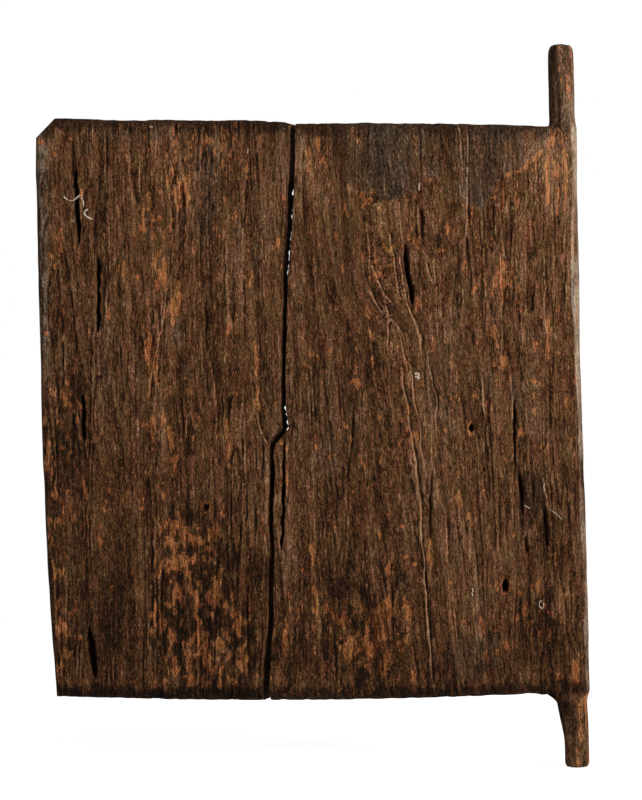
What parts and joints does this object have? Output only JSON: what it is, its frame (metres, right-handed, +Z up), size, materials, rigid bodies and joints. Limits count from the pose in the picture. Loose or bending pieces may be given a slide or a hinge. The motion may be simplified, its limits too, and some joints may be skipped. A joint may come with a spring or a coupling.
{
  "type": "granary door leaf",
  "caption": "Hewn wooden granary door leaf, planks stapled edge to edge, with a round pivot of the same wood at the top and at the bottom of its hinge edge.",
  "frame": {"origin": "on the hinge axis, level with the mouth of the lower socket, where the round lower journal begins", "axes": "+Z up along the hinge axis, -X towards the free edge, -Y out of the weathered face that the picture shows"},
  "size_m": [0.4743, 0.03, 0.6335],
  "materials": {
    "weathered_wood": "adze-hewn and weathered, dark brown with worn orange streaks along the grain",
    "forged_iron": "hand-forged, hammered, with thin dark rust"
  },
  "bodies": {
    "root": {"hinge_plank": "weathered_wood", "free_edge_plank": "weathered_wood", "upper_staple": "forged_iron", "middle_staple": "forged_iron", "lower_staple": "forged_iron"}
  },
  "joints": []
}
